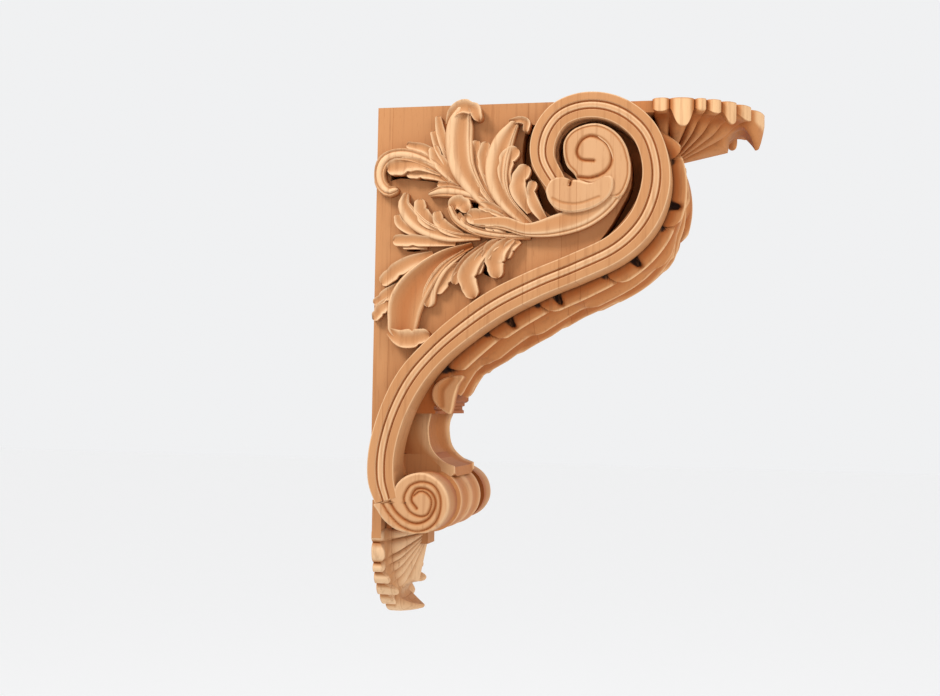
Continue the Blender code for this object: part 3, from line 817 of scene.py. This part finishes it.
# Rows of u, v and width along the band, the leaf's stem and each opening.
BAND = (
    (222, -104, 18), (211, -92, 24), (198, -67, 27), (200, -41, 29), (215, -19, 29), (240, -9, 29), (268, -10.5, 29),
    (294, -23, 29), (314, -45, 29), (324, -78, 30), (322, -110, 32), (308, -142, 32), (280, -169, 31),
    (236, -190, 31), (192, -208, 31), (146, -231, 32), (106, -259, 31), (74, -287, 30), (48, -318, 32),
    (29, -356, 31), (18, -396, 31), (17, -430, 31), (26, -460, 26), (42, -478, 20), (62, -484, 13),
)
SCROLL = (
    (120, -138, 8), (153, -139, 15), (181, -147, 15), (215, -142, 25), (249, -130, 27), (274, -107, 26),
    (285, -76, 19), (276, -52, 13), (262, -40, 10),
)
OPENINGS = (
    ((262, -159, 1.5), (276, -144, 6), (290, -123, 10.5), (300, -102, 10.5), (302, -76, 11.7), (297, -55, 11.7),
     (285, -38, 10.5), (267, -28, 7), (250, -26, 5.8), (231, -32, 5.8), (219, -45, 6.4), (217, -62, 7), (222, -77, 7),
     (232, -86, 4.7), (242, -90, 2)),
    ((182, -25, 9.4), (178, -45, 10.5), (177, -63, 10.5), (179, -75, 8.2), (189, -91, 7), (196, -108, 11.7),
     (202, -120, 10.5), (213, -130, 7), (223, -130, 5.8)),
    ((17, -81, 10.5), (30, -82, 3.5), (47, -84, 3.5), (68, -87, 2.9), (86, -91, 4.1), (93, -93, 5.8)),
    ((114, -93, 4.7), (125, -102, 5.3), (136, -113, 5.3), (145, -120, 5.3)),
    ((123, -55, 2.3), (122, -66, 3.5), (124, -78, 4.1), (129, -86, 3.5)),
    ((38, -167, 3.5), (46, -167, 4.7), (54, -166, 5.8)),
    ((137, -159, 1.8), (128, -169, 4.7), (126, -182, 7), (132, -192, 8.2), (140, -198, 3.5)),
    ((112, -117, 8.2), (120, -118, 8.2), (127, -120, 4.7)),
)


@dataclass
class Cheek:
    """One cheek board with its scrolled band, leaf scroll, leaves and small volute."""

    name: str
    node: str
    far: bool
    foot: float = -428.0
    cove: float = 3.0
    top_end: float = 206.0
    opening_reach: float = 5.0

    def sweep(self, carving: Carving, stations: Stations, section: Stations, count: int) -> None:
        """Runs a section along stations.

        Args:
            carving: The carving that the shell goes into.
            stations: Rows of u, v and width.
            section: Rows of place across the width from -1 to 1, distance across the bracket, and painted light.
            count: How many rings to make.
        """
        path = smooth_path(stations, count)
        along = directions(path)
        across, reach, painted_light = np.array(section).T
        half = path[:, 2, None] / 2
        u = path[:, 0, None] - along[:, 1, None] * half * across
        v = path[:, 1, None] + along[:, 0, None] * half * across
        carving.loft(place(u, v, -reach * np.ones_like(u)), painted_light * np.ones_like(u))

    def band(self, carving: Carving) -> None:
        """Carves the scrolled band: two flats, two coves and the ridge between them.

        Args:
            carving: The carving that the band goes into.
        """
        face, cove = FACE_X, FACE_X - self.cove
        # The last value of each row is painted light: shade in the coves and sides, highlights on ridge and edges.
        half = (
            (0.96, face - 0.2, 0.95), (0.9, face, 0.60), (0.42, face, 0.60), (0.39, face - 0.4, 0.9),
            (0.35, cove + 0.9, 0.45), (0.29, cove, 0.22), (0.23, cove + 0.8, 0.42), (0.19, face - 1, 0.9),
            (0.14, face - 0.5, 0.95), (0.07, face - 0.35, 0.75),
        )
        other = tuple((-across, reach, shown) for across, reach, shown in reversed(half))
        section = ((1, INNER_X, 0.4), (1, face - 1, 0.7), *half, *other, (-1, face - 1, 0.7), (-1, INNER_X, 0.4))
        self.sweep(carving, (*BAND[:22], (24, -455, 27)), section, 300)

    def scroll(self, carving: Carving) -> None:
        """Carves the leaf's stem that winds up inside the large volute.

        Args:
            carving: The carving that the stem goes into.
        """
        # The last value of each row is painted light: shade at the foot and groove, highlights on beads and edges.
        section = (
            (-0.9, -SET_IN, 0.2), (-1, 9, 0.4), (-0.97, 11.5, 0.8), (-0.88, 12.4, 1.0), (-0.76, 12.2, 0.7),
            (-0.70, 12.0, 0.5), (-0.62, 13.4, 0.9), (-0.50, 14.0, 0.95), (-0.3, 14.2, 0.70), (0.0, 14.2, 0.62),
            (0.35, 13.8, 0.58), (0.62, 13.6, 0.62), (0.80, 13.8, 0.8), (0.92, 13.6, 0.98), (0.97, 12, 0.8),
            (1, 9, 0.4), (0.9, -SET_IN, 0.2),
        )
        raised = tuple((across, GROUND_X + lift, shown) for across, lift, shown in section)
        self.sweep(carving, SCROLL, raised, 120)

    def ground(self) -> bpy.types.Object:
        """Cuts the board under the carving and its deep openings.

        Returns:
            The board, with the walls of its openings in shadow.
        """
        front = smooth_path(BAND, 72)[16:-5, :2]
        border = [(0.0, self.foot), (0.0, 0.0), (self.top_end, 0.0), *((float(u), float(v)) for u, v in front)]
        piece = board("ground", border, -INNER_X, -GROUND_X)
        cutters = []
        for index, stations in enumerate(OPENINGS):
            path = smooth_path(stations, 24)
            along = directions(path)
            half = path[:, 2, None] / 2
            sides = [path[:, :2] + np.column_stack([-along[:, 1], along[:, 0]]) * half * side for side in (1, -1)]
            outline = [*map(tuple, sides[0]), *map(tuple, sides[1][::-1])]
            low, high = -(INNER_X - self.opening_reach), -(GROUND_X + self.opening_reach)
            cutters.append(board(f"opening_{index}", outline, low, high))
        cut(piece, cutters)
        edge = {(round(u, 2), round(v, 2)) for u, v in front}
        values = []
        for vertex in piece.data.vertices:
            u, v = -vertex.co.y / MM, (vertex.co.z - TOP_Z) / MM
            inside = abs(vertex.co.x) / MM < GROUND_X - 1
            on_edge = u < 1 or v > -1 or v < self.foot + 1 or (round(u, 2), round(v, 2)) in edge
            values.append(0.0 if inside and not on_edge else FLAT_FACE_LIGHT)
        paint_light(piece.data, values)
        return piece

    def build(self, finish: bpy.types.Material) -> bpy.types.Object:
        """Builds the whole cheek and dresses it.

        Args:
            finish: The wood.

        Returns:
            The cheek.
        """
        carving = Carving("carving")
        self.band(carving)
        self.scroll(carving)
        for leaf in (*LEAVES, EYE, HOOD, SMALL_VOLUTE):
            leaf.carve(carving)
        ground = self.ground()
        if self.far:
            for vertex in ground.data.vertices:
                vertex.co.x = -vertex.co.x
            ground.data.flip_normals()
        return dress(join(self.name, [ground, carving.build(self.far)]), self.node, finish)


# The core

def tooth(length: np.ndarray, bounds: tuple[float, ...]) -> np.ndarray:
    """Rises from 0 to 1 between each two bounds and falls back at once.

    Args:
        length: Where along the leaf the height is asked for.
        bounds: Where one tooth ends and the next begins.

    Returns:
        The height at each length.
    """
    spots = np.array(bounds, float)
    index = np.clip(np.searchsorted(spots, length) - 1, 0, len(spots) - 2)
    share = np.clip((length - spots[index]) / (spots[index + 1] - spots[index]), 0, 1)
    return np.minimum(share ** 0.7, 6 * (1 - share))


@dataclass
class LeafCore:
    """The block between the cheeks: the leaf down its front, the moulded block and the hollow neck.

    Slots, holes, teeth and the pocket are lengths along the front from the flat top.
    """

    name: str = "carved_leaf_core"
    neck_half: float = 56.0
    neck_back: float = 24.0
    neck_foot: float = -404.0
    leaf_foot: float = -318.0
    wall: float = 16.0
    wall_crest: float = 71.0
    rib: Stations = (
        (0, 0), (40, 3), (72, 9.8), (107, 6.6), (147, 11.1), (162, 10.7), (182, 21.6), (217, 25.5), (296, 26.9),
        (345, 32.6), (412, 30.8), (449, 25), (481, 31.4), (505, 27), (528, 15),
    )
    slots: tuple[float, ...] = (91, 168, 252, 336, 404)
    holes: tuple[float, ...] = (140, 214, 311, 373)
    pocket: float = 468.0
    inner_teeth: tuple[float, ...] = (60, 128, 205, 290, 372, 440, 500, 560)
    rib_teeth: tuple[float, ...] = (60, 150, 186, 262, 330, 398, 470, 560)
    block: Stations = (
        (74, -324), (75, -328), (75, -340), (73, -342), (70, -343), (70, -346.5), (67, -347.5), (67, -351),
        (69, -352.5), (69, -356),
    )
    lip: Stations = ((60, -356), (57, -372), (58, -387), (61, -397), (67, -405), (77, -413), (88, -417))

    def front(self, count: int) -> np.ndarray:
        """Follows the band's outer edge from the flat top to the leaf's foot.

        Args:
            count: How many rows to return.

        Returns:
            Rows of u and v.
        """
        path = smooth_path(BAND, 400)
        along = directions(path)
        edge = path[:, :2] + np.column_stack([-along[:, 1], along[:, 0]]) * path[:, 2, None] / 2
        crown = int(edge[:, 1].argmax())
        edge = edge[crown:]
        edge = edge[(edge[:, 1] > self.leaf_foot) & (edge[:, 1] < -4)]
        return smooth_path([(282, 0), *map(tuple, edge[::6]), tuple(edge[-1])], count)

    def rise(self, path: np.ndarray, x: float) -> tuple[np.ndarray, np.ndarray, np.ndarray]:
        """Works out one section of the leaf.

        Args:
            path: The core's front in u and v.
            x: Where the section lies across the bracket.

        Returns:
            How far the leaf stands out of the front, its painted light, and how far it is pushed in sideways.
        """
        far = abs(x)
        length = np.concatenate([[0], np.cumsum(np.hypot(*np.diff(path[:, :2], axis=0).T))])
        rib = np.interp(length, *np.array(self.rib, float).T)
        starts = ease(40, 84, length) * (1 - 0.55 * ease(490, 528, length))
        beyond = (far - self.wall_crest) / (CORE_HALF - self.wall_crest)
        lean = 8 * (1 - np.clip(beyond, 0, 1)) + 0.8 * max(0.0, self.wall_crest - far)
        along = tooth(length + lean, (40, *self.slots, self.pocket, 560))
        wall = starts * (self.wall - 2.5 + 4.5 * along)
        inner = tooth(length + 1.1 * abs(far - 30), self.inner_teeth)
        half = 0.5 * (rib + wall) + 4.0 * starts * (inner - 0.5)
        rib = rib + 2.4 * starts * (tooth(length + 1.6 * far, self.rib_teeth) - 0.5)
        # Last value in a row is painted light: shade in channels and at the foot, highlights on ridges and the crest.
        profile = (
            (0, rib, 0.90), (4, rib - 0.6, 0.70), (9, rib - 3.0, 0.30), (18, 0.75 * rib + 0.25 * wall - 4.0, 0.24),
            (27, half + 1.4, 0.90), (31, half + 0.4, 0.62), (42, wall - 2.0, 0.34), (52, wall - 5.5, 0.16),
            (62, wall - 1.4, 0.42), (68, wall - 0.3, 0.80), (71, wall, 1.0), (73.5, 0.84 * wall, 0.60),
            (74.9, 0.58 * wall, 0.40), (75.4, 0.32 * wall, 0.22), (75.7, 0.0, 0.10),
        )
        places = np.array([row[0] for row in profile])
        upper = int(np.clip(np.searchsorted(places, far), 1, len(places) - 1))
        share = (far - places[upper - 1]) / (places[upper] - places[upper - 1])
        height = np.maximum(profile[upper - 1][1] * (1 - share) + profile[upper][1] * share, 0)
        shown = np.full(len(path), profile[upper - 1][2] * (1 - share) + profile[upper][2] * share)
        shown = shown + (0.45 - shown) * (1 - starts)
        inward = ease(40, 60, far)
        cut_in = bell(length, self.pocket - 0.5 * lean, 5.0)
        for slot in self.slots:
            cut_in = np.maximum(cut_in, bell(length, slot - lean, 3.0))
        height = height * (1 - 0.92 * inward * cut_in)
        # Painted shadow down in the slots and the pocket.
        shown = shown * (1 - inward * np.minimum(1, 1.6 * cut_in))
        push = np.zeros(len(path))
        for hole in self.holes:
            push = np.maximum(push, bell(length, hole - 0.6 * lean, 4.2))
        push = push * starts * ease(72.6, 75.2, far)
        # Painted shadow in the holes.
        return height, np.clip(shown - 0.9 * push ** 2, 0.01, 1), 6.0 * push

    def neck(self, x: float) -> tuple[list[tuple[float, float]], float]:
        """Draws one section of the neck: a gutter between two lips, or the plain back beside them.

        Args:
            x: Where the section lies across the bracket.

        Returns:
            The section's corners in u and v, and their painted light.
        """
        steps = 28
        far, top = abs(x), self.lip[0][1]
        if far > self.neck_half:
            # Beside the lips the plain back is painted in shade.
            return [(self.neck_back, float(v)) for v in np.linspace(top, self.neck_foot + 0.6, steps + 5)], 0.22
        bow = ease(self.neck_half, 36, far)
        round_off = 2.0 * ease(53, self.neck_half, far)
        shaped = [(u - (15 * bow + round_off) * (1 - 0.9 * (i / steps) ** 2), v - 2.5 * bow * i / steps)
                  for i, (u, v) in enumerate(smooth_path(self.lip, steps))]
        # Painted highlight on the lips, painted shade deeper in the gutter.
        lit = 0.95 - 0.50 * ease(53, 42, far)
        return [*shaped, (88, -425 - 5 * bow), (84, -429.2), (78, -425.5), (73, -423), (71.8, -418.8)], lit

    def build(self, finish: bpy.types.Material) -> bpy.types.Object:
        """Builds the core from sections across the bracket.

        Args:
            finish: The wood.

        Returns:
            The core.
        """
        places = np.array([CORE_HALF, 75.55, 75.4, 75.15, 74.9, 74.2, 73.5, 72.3, 71, 69.5, 68, 65, 62, 59, 56.02])
        places = np.concatenate([places, np.linspace(56, 0, 33)])
        places = np.concatenate([-places, places[-2::-1]])
        path = self.front(520)
        along = directions(path)
        rings, painted_light_rings = [], []
        for x in places:
            height, shown, push = self.rise(path, float(x))
            u = path[:, 0] - along[:, 1] * height
            v = path[:, 1] + along[:, 0] * height
            neck, lit = self.neck(float(x))
            foot = 56.0 if abs(x) <= self.neck_half else self.neck_back
            points = np.array([(0, self.neck_foot), (0, 0), *zip(u, v), *self.block, *neck, (foot, self.neck_foot)])
            across = np.full(len(points), x)
            across[2:2 + len(push)] -= math.copysign(1, x) * push
            rings.append(place(points[:, 0], points[:, 1], across))
            # The moulded block and the foot are painted in shade; the back corners get the flat face's painted light.
            below = [*[0.20] * len(self.block), *[lit] * len(neck), 0.2]
            painted_light_rings.append(np.concatenate([[FLAT_FACE_LIGHT, FLAT_FACE_LIGHT], shown, below]))
        carving = Carving(self.name)
        carving.loft(np.array(rings), np.array(painted_light_rings))
        POINT.carve(carving)
        return dress(carving.build(), "leaf_core", finish)


@dataclass
class RollBlock:
    """The roll between the small volutes, with a cove at each end."""

    name: str = "carved_roll_block"
    center: tuple[float, float] = (60.0, -458.0)
    radius: float = 37.0
    half: float = 56.0
    seat: float = -404.3
    flute: float = 1.4
    cove: float = 7.0

    def build(self, finish: bpy.types.Material) -> bpy.types.Object:
        """Builds the roll from sections across the bracket.

        Args:
            finish: The wood.

        Returns:
            The roll.
        """
        places = np.concatenate([np.linspace(CORE_HALF, 56.6, 12), np.linspace(56.2, 0, 40)])
        places = np.concatenate([-places, places[-2::-1]])
        angles = np.radians(np.linspace(70, -100, 70))
        low = self.center[1] - self.radius * 0.9
        back = [(12.4, low), (12.4, -456.3), (0, -456.3), (0, self.seat), (24, self.seat)]
        rings, painted_light_rings = [], []
        for x in places:
            far = abs(x)
            end = np.clip((far - self.half) / (CORE_HALF - self.half), 0, 1)
            # Painted shade deepening into the end coves and in the flutes, a painted highlight by each cove.
            if end > 0:
                radius = self.radius - self.cove * math.sin(math.pi / 2 * min(end * 1.6, 1))
                shown = 0.62 - 0.25 * end
            else:
                flute = self.flute * math.sin(far / self.half * math.pi) ** 2
                radius = self.radius - flute
                shown = 0.80 - 0.2 * flute + 0.2 * bell(far, 55.0, 1.6)
            u = self.center[0] + radius * np.cos(angles)
            v = self.center[1] + radius * np.sin(angles)
            tall = far <= self.half + 0.3
            shoulder = [(55.7, self.seat), (71.6, -418.6)] if tall else [(30, self.center[1] + 30), (48, -429)]
            points = np.array([*back, *shoulder, *zip(u, v)])
            rings.append(place(points[:, 0], points[:, 1], x))
            painted_light_rings.append(np.full(len(points), shown))
        carving = Carving(self.name)
        carving.loft(np.array(rings), np.array(painted_light_rings))
        return dress(carving.build(), "roll_block", finish)


# The fan leaves

@dataclass
class FanLeaf:
    """A leaf that spreads as a half circle from its foot and curls over at its tip.

    Lobes are the angles, in degrees from the tip, where one lobe ends and the next begins, and blades are how much
    thicker each is at the rim. Backing blocks are an outline in u and v and half a width.
    """

    name: str
    node: str
    radius: float
    rim: float
    depth: float
    lay: Callable[[np.ndarray, np.ndarray, np.ndarray], np.ndarray]
    backing: tuple[tuple[tuple[tuple[float, float], ...], float], ...]
    lobes: tuple[float, ...] = (0, 20, 38, 51, 62, 70, 86, 97)
    # Painted light on the underside, before the painted shade of its hollows and cuts.
    shine: float = 0.66
    curl: float = 0.70
    blades: tuple[float, ...] = (1.0, 1.2, 1.8, 1.1, 0.9, 2.3, 1.1)

    def crest(self, angle: float) -> float:
        """Gives 1 in the middle of a lobe and 0 in the cut between two lobes.

        Args:
            angle: The angle from the tip, in degrees.

        Returns:
            The height from 0 to 1.
        """
        far = abs(angle)
        for low, high in zip(self.lobes, self.lobes[1:]):
            if low <= far <= high:
                if low == 0:
                    return float(1 - (far / high) ** 6)
                return float(1 - abs((far - (low + high) / 2) / ((high - low) / 2)) ** 3)
        return 0.0

    def section(self, angle: float) -> tuple[np.ndarray, np.ndarray, np.ndarray]:
        """Draws one section over the flat side to the rim, down the rim and back to the foot.

        Args:
            angle: The angle from the tip, in degrees.

        Returns:
            Shares of the radius, depths and painted light.
        """
        crest = self.crest(angle)
        tip = max(0.0, 1 - abs(angle) / self.lobes[1]) ** 0.7
        share = np.linspace(0.985, 0.12, 44)
        lobe = int(np.searchsorted(self.lobes, abs(angle), side="right")) - 1
        blade = self.blades[min(lobe, len(self.blades) - 1)]
        base = self.rim * (0.75 + 0.25 * crest)
        edge = base * (1 + (blade - 1) * crest ** 2)
        hollow = 0.55 * self.rim * bell(share, 0.84, 0.10) * crest
        under = base + (self.depth - self.rim) * (1 - share) ** 0.8 - hollow
        under = np.maximum(under, edge * ease(0.78, 0.98, share))
        under -= 3.5 * (1 - crest) * share
        curled = np.where(share > 0.86, self.depth * self.curl * ease(1.05, 0.93, share),
                          self.depth * (1 - 0.42 * share))
        waist = self.rim * 1.15 + 15 * (np.abs(share - 0.76) / 0.13) ** 2
        curled = np.where((share > 0.63) & (share < 0.89), waist, curled)
        under = under * (1 - tip) + np.maximum(curled, edge * 0.9) * tip
        shares = np.concatenate([np.linspace(0.12, 1.0, 10), np.ones(5), share])
        depths = np.concatenate([np.zeros(10), np.linspace(0.08, 0.96, 5) * edge,
                                 np.maximum(under, self.rim * 0.35)])
        # Painted light: plain on the flat side, highlights on the rims, shade in hollows and in cuts between lobes.
        shown = np.concatenate([np.full(10, 0.7), np.full(5, 0.95 * crest + 0.1),
                                np.clip(self.shine - 0.06 * hollow - 0.35 * (1 - crest), 0.06, 1)])
        return shares, depths, shown

    def build(self, finish: bpy.types.Material) -> bpy.types.Object:
        """Builds the fan from sections around its foot, with the plain blocks behind it.

        Args:
            finish: The wood.

        Returns:
            The fan leaf.
        """
        rings, painted_light_rings = [], []
        for angle in map(float, np.linspace(-self.lobes[-1], self.lobes[-1], 195)):
            turn = math.radians(angle)
            tip = max(0.0, 1 - abs(angle) / self.lobes[1])
            shares, depths, shown = self.section(angle)
            reach = self.radius * (1 - 0.06 * (1 - self.crest(angle))) * (1 + 0.05 * tip)
            rings.append(self.lay(reach * shares * math.cos(turn), reach * shares * math.sin(turn), depths))
            painted_light_rings.append(shown)
        carving = Carving(self.name)
        carving.loft(np.array(rings), np.array(painted_light_rings))
        parts = [carving.build()]
        for index, (outline, half) in enumerate(self.backing):
            block = board(f"{self.name}_back_{index}", outline, -half, half)
            paint_light(block.data, [FLAT_FACE_LIGHT] * len(block.data.vertices))
            parts.append(block)
        return dress(join(self.name, parts), self.node, finish)


def crown_leaf() -> FanLeaf:
    """Draws the leaf that stands forward from the top.

    Returns:
        The leaf, to be built.
    """
    def lay(forward: np.ndarray, sideways: np.ndarray, down: np.ndarray) -> np.ndarray:
        """Lays the fan's flat side level with the top."""
        return place(330 + forward, -down, sideways)

    plug = ((290, -0.7), (346, -0.7), (346, -53), (290, -53))
    yoke = ((290, -0.4), (331, -0.4), (331, -13.5), (290, -13.5))
    return FanLeaf("carved_crown_leaf", "crown_leaf", 106, 14, 58, lay, ((plug, 16), (yoke, 95)))


def drop_leaf() -> FanLeaf:
    """Draws the leaf that hangs below the roll with its flat side on the wall.

    Returns:
        The leaf, to be built.
    """
    def lay(forward: np.ndarray, sideways: np.ndarray, down: np.ndarray) -> np.ndarray:
        """Lays the fan's flat side on the wall."""
        return place(down, -500 - forward, sideways)

    plug = ((12, -474.5), (48, -488), (48, -514), (0.7, -514), (0.7, -474.5))
    yoke = ((0.4, -457), (11.6, -457), (11.6, -501), (0.4, -501))
    return FanLeaf("carved_drop_leaf", "drop_leaf", 94, 12, 46, lay, ((plug, 16), (yoke, 94)), shine=1.0, curl=0.90,
                   blades=(1.0, 1.4, 2.2, 1.6, 1.0, 1.3, 1.0))


# The studio

@dataclass
class Studio:
    """The pale floor, the soft lights and the camera of the photograph. A light is its name, place, size and power."""

    lens: float = 48.03
    sensor: float = 36.0
    eye: tuple[float, float, float] = (-1.49734589, -0.422898, -0.12374449)
    yaw: float = 12.45
    pitch: float = 2.55
    roll: float = 1.035
    floor_z: float = -1.6
    floor_size: float = 60.0
    lights: tuple[tuple[str, tuple[float, float, float], float, float], ...] = (
        ("key", (-1.3, 0.8, 1.4), 0.6, 38), ("fill", (-1.2, -2.0, 0.5), 1.6, 20), ("back", (1.8, -0.6, 1.2), 1.2, 8),
    )
    aim: tuple[float, float, float] = (0, -0.15, 0)
    sky: Colour = (0.97, 0.975, 0.985)
    sky_strength: float = 0.90

    def camera(self) -> None:
        """Stands the camera where the photograph was taken."""
        yaw, pitch, roll = (math.radians(angle) for angle in (self.yaw, self.pitch, self.roll))
        ahead = Vector((math.cos(yaw) * math.cos(pitch), math.sin(yaw) * math.cos(pitch), math.sin(pitch)))
        right = ahead.cross(Vector((0, 0, 1))).normalized()
        up = right.cross(ahead)
        right, up = right * math.cos(roll) + up * math.sin(roll), up * math.cos(roll) - right * math.sin(roll)
        lens = bpy.data.cameras.new("camera")
        lens.lens = self.lens
        lens.sensor_width = self.sensor
        camera = bpy.data.objects.new("camera", lens)
        turn = Matrix((right, up, -ahead)).transposed().to_4x4()
        camera.matrix_world = Matrix.Translation(Vector(self.eye)) @ turn
        bpy.context.scene.collection.objects.link(camera)
        bpy.context.scene.camera = camera

    def floor(self, finish: bpy.types.Material) -> None:
        """Lays the floor well below the bracket.

        Args:
            finish: The floor's paint.
        """
        bpy.ops.object.select_all(action="DESELECT")
        bpy.ops.mesh.primitive_plane_add(size=self.floor_size)
        floor = bpy.context.object
        floor.name = "floor"
        for vertex in floor.data.vertices:
            vertex.co.z = self.floor_z
        floor.data.materials.append(finish)

    def light(self, name: str, at: tuple[float, float, float], size: float, power: float) -> None:
        """Hangs a square soft light that faces the bracket.

        Args:
            name: The light's name.
            at: Where it hangs.
            size: The length of its side, in metres.
            power: Its power, in watts.
        """
        bulb = bpy.data.lights.new(name, "AREA")
        bulb.size = size
        bulb.energy = power
        lamp = bpy.data.objects.new(name, bulb)
        lamp.location = at
        toward = Vector(self.aim) - Vector(at)
        lamp.rotation_euler = toward.to_track_quat("-Z", "Y").to_euler()
        bpy.context.scene.collection.objects.link(lamp)

    def build(self) -> None:
        """Sets up the whole studio."""
        self.camera()
        self.floor(FloorFinish().material())
        for lamp in self.lights:
            self.light(*lamp)
        world = bpy.data.worlds.new("studio")
        world.use_nodes = True
        background = world.node_tree.nodes["Background"]
        background.inputs["Color"].default_value = (*self.sky, 1)
        background.inputs["Strength"].default_value = self.sky_strength
        bpy.context.scene.world = world
        bpy.context.scene.view_settings.view_transform = "Standard"


def main() -> None:
    """Builds the bracket and its studio."""
    logging.basicConfig(level=logging.INFO, format="%(name)s: %(message)s")
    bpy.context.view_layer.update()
    wood = WoodFinish("carved_wood").material()
    # A redder copy of the wood with darker plain faces: painted shade for the core, the roll and the crown leaf.
    painted_shade_wood = WoodFinish("shaded_wood", plain=(0.48, 0.205, 0.076), crest=(0.72, 0.455, 0.245)).material()
    Cheek("carved_left_cheek", "left_cheek", far=False).build(wood)
    Cheek("carved_right_cheek", "right_cheek", far=True).build(wood)
    LeafCore().build(painted_shade_wood)
    RollBlock().build(painted_shade_wood)
    crown_leaf().build(painted_shade_wood)
    drop_leaf().build(wood)
    Studio().build()


if __name__ == "__main__":
    main()
